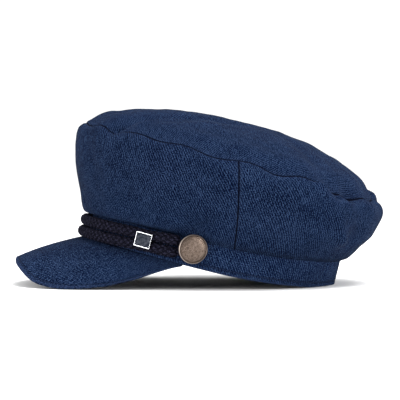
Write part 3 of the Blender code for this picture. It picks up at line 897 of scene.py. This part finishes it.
def polishedSteel(name):
    metal = Recipe(name)
    place = metal.node("ShaderNodeTexCoord", {}, {}, 3)
    smears = metal.noise(place, 900.0, 3.0)
    return metal.finish(
        colour=(0.74, 0.75, 0.78, 1.0),
        metallic=1.0,
        roughness=metal.between(smears, 0.3, 0.8, 0.10, 0.24),
        normal=metal.bump(smears, 0.00002, 0.4),
    )


def brushedSteel(name):
    metal = Recipe(name)
    x, y, z = metal.split(metal.node("ShaderNodeTexCoord", {}, {}, 3))
    lines = metal.noise(metal.join(x * 500.0, y * 500.0, z * 6000.0), 1.0, 3.0, 0.6)
    patches = metal.noise(metal.join(x, y, z), 500.0, 3.0)
    dark, pale = (0.009, 0.011, 0.016, 1.0), (0.033, 0.036, 0.045, 1.0)
    return metal.finish(
        colour=metal.mix(metal.between(patches, 0.35, 0.7), dark, pale),
        metallic=1.0,
        roughness=metal.between(lines, 0.2, 0.8, 0.36, 0.58),
        normal=metal.bump(lines, 0.00004, 0.5),
    )


dress(slideShape(), "slide", "brushed_steel", polishedSteel("slidePolish"), brushedSteel("slideBrushed"))
print("slide set")


# Buttons: a domed disc with a rim and a ring of small dots round a plain worn middle

def shankLength():
    tilt = math.radians(button["tilt"])
    overCords = cord["underButton"] + fit["gap"]
    return (overCords - button["shankRadius"] * math.sin(tilt)) / math.cos(tilt)


def buttonPiece(name, node, side, finish):
    back, radius, rim = button["thickness"], button["radius"], button["rim"]
    disc = bmesh.new()
    outline = [
        (0.0, back + button["dome"]),
        (radius * 0.25, back + button["dome"] * 0.96),
        (radius * 0.5, back + button["dome"] * 0.80),
        (radius * 0.66, back + button["dome"] * 0.52),
        (radius * 0.70, back + button["dome"] * 0.34),
        (radius * 0.84, back + button["dome"] * 0.02),
        (radius - rim * 1.10, back - 0.00025),
        (radius - rim * 0.85, back + rim * 0.26),
        (radius - rim * 0.55, back + rim * 0.40),
        (radius - rim * 0.22, back + rim * 0.22),
        (radius, back - rim * 0.30),
        (radius - rim * 0.05, back - rim * 0.80),
        (radius - rim * 0.30, 0.0),
        (button["shankRadius"], 0.0),
        (button["shankRadius"], -shankLength()),
        (0.0, -shankLength()),
    ]
    corners = [disc.verts.new((x, 0.0, z)) for x, z in outline]
    line = [disc.edges.new(pair) for pair in zip(corners, corners[1:])]
    bmesh.ops.spin(
        disc, geom=corners + line, cent=(0, 0, 0), axis=(0, 0, 1), angle=2 * math.pi, steps=72,
        use_merge=True, use_duplicate=False,
    )
    bmesh.ops.remove_doubles(disc, verts=disc.verts, dist=0.00001)
    bmesh.ops.recalc_face_normals(disc, faces=disc.faces)
    for step in range(button["dots"]):
        turn = Matrix.Rotation(2 * math.pi * step / button["dots"], 4, "Z")
        spot = turn @ Matrix.Translation((button["dotCircle"], 0.0, back + button["dome"] * 0.16))
        bmesh.ops.create_uvsphere(disc, u_segments=8, v_segments=5, radius=button["dotRadius"], matrix=spot)
    discMap = disc.loops.layers.uv.new("disc")
    for face in disc.faces:
        for corner in face.loops:
            corner[discMap].uv = corner.vert.co.xy
    angle = np.array(side * button["angle"])
    facing = Vector(outOfBand(angle))
    tipped = Matrix.Rotation(math.radians(side * button["tilt"]), 3, "Z") @ facing
    tip = button["shankRadius"] * math.sin(math.radians(button["tilt"]))
    foot = Vector(bandFace(angle, fit["gap"] + tip, button["height"])) + tipped * shankLength()
    disc.transform(placedMatrix(foot, tipped.to_track_quat("Z", "X").to_matrix().to_4x4()))
    piece = finishedPiece(name, inSteadyOrder(disc))
    piece.data.set_sharp_from_angle(angle=math.radians(50.0))
    dress(piece, node, "aged_bronze", finish)


def agedBronze(name):
    metal = Recipe(name)
    place = metal.node("ShaderNodeTexCoord", {}, {}, 3)
    x, y = metal.map("disc")
    out = (x * x + y * y) ** 0.5 / button["radius"]
    ring = metal.between(out, 0.80, 0.86) * metal.between(out, 0.90, 0.94, 1.0, 0.0)
    rim = metal.between(out, 0.94, 0.965) * metal.between(out, 0.985, 1.0, 1.0, 0.0)
    grain = metal.noise(place, 1500.0, 3.0, 0.6)
    patches = metal.noise(place, 420.0, 3.0, 0.55)
    dark, pale = (0.052, 0.038, 0.030, 1.0), (0.155, 0.115, 0.093, 1.0)
    colour = metal.mix(metal.between(grain, 0.38, 0.62), dark, pale)
    colour = metal.mix(metal.between(patches, 0.40, 0.75) * 0.35, colour, (0.235, 0.188, 0.160, 1.0))
    colour = metal.mix(ring * 0.55, colour, (0.045, 0.032, 0.026, 1.0))
    # a painted highlight along the raised rim, paler all the way round
    colour = metal.mix(rim * 0.7, colour, (0.42, 0.36, 0.32, 1.0))
    return metal.finish(
        colour=colour,
        metallic=1.0,
        roughness=metal.between(patches, 0.3, 0.7, 0.44, 0.30),
        normal=metal.bump(grain + patches, 0.00014, 0.7),
    )


bronze = agedBronze("buttonBronze")
buttonPiece("buttonLeftDisc", "button_left", 1, bronze)
buttonPiece("buttonRightDisc", "button_right", -1, bronze)
print("buttons spun")


# Pale floor, soft light and the camera

studio = {
    "floorColour": (0.90, 0.90, 0.90, 1.0),
    "sky": 1.12,
    "overheadPower": 78.0,
    "overheadPlace": (0.30, 0.45, 2.4),
    "overheadSize": 1.5,
    "nosePower": 38.0,
    "nosePlace": (1.5, -2.3, 0.75),
    "noseSize": 1.2,
    "napePower": 44.0,
    "napePlace": (1.5, 2.3, 0.85),
    "napeSize": 1.2,
    "cameraDistance": 2.2,
    "cameraRise": 3.5,
    "lens": 247.5,
    "aim": (0.0, 0.0008, 0.0668),
}

ground = bmesh.new()
bmesh.ops.create_grid(ground, x_segments=1, y_segments=1, size=8.0)
floor = finishedPiece("studioFloor", ground)
paper = Recipe("studioPaper")
floor.data.materials.append(paper.finish(colour=studio["floorColour"], roughness=0.95, specular=0.1))

sky = bpy.data.worlds.new("studioSky")
sky.use_nodes = True
sky.node_tree.nodes["Background"].inputs["Color"].default_value = (1.0, 1.0, 1.0, 1.0)
sky.node_tree.nodes["Background"].inputs["Strength"].default_value = studio["sky"]
bpy.context.scene.world = sky

for place in ("overhead", "nose", "nape"):
    lamp = bpy.data.lights.new(place + "Lamp", "AREA")
    lamp.energy = studio[place + "Power"]
    lamp.size = studio[place + "Size"]
    holder = bpy.data.objects.new(place + "Lamp", lamp)
    holder.location = studio[place + "Place"]
    holder.rotation_mode = "QUATERNION"
    holder.rotation_quaternion = Vector(studio[place + "Place"]).to_track_quat("Z", "Y")
    bpy.context.scene.collection.objects.link(holder)

rise = math.radians(studio["cameraRise"])
eye = Vector((math.cos(rise), 0.0, math.sin(rise))) * studio["cameraDistance"]
cameraData = bpy.data.cameras.new("photoCamera")
cameraData.lens = studio["lens"]
cameraData.sensor_width = 36.0
photoCamera = bpy.data.objects.new("photoCamera", cameraData)
photoCamera.location = eye
photoCamera.rotation_mode = "QUATERNION"
photoCamera.rotation_quaternion = (eye - Vector(studio["aim"])).to_track_quat("Z", "Y")
bpy.context.scene.collection.objects.link(photoCamera)
bpy.context.scene.camera = photoCamera
bpy.context.scene.view_settings.view_transform = "Standard"
print("studio lit")
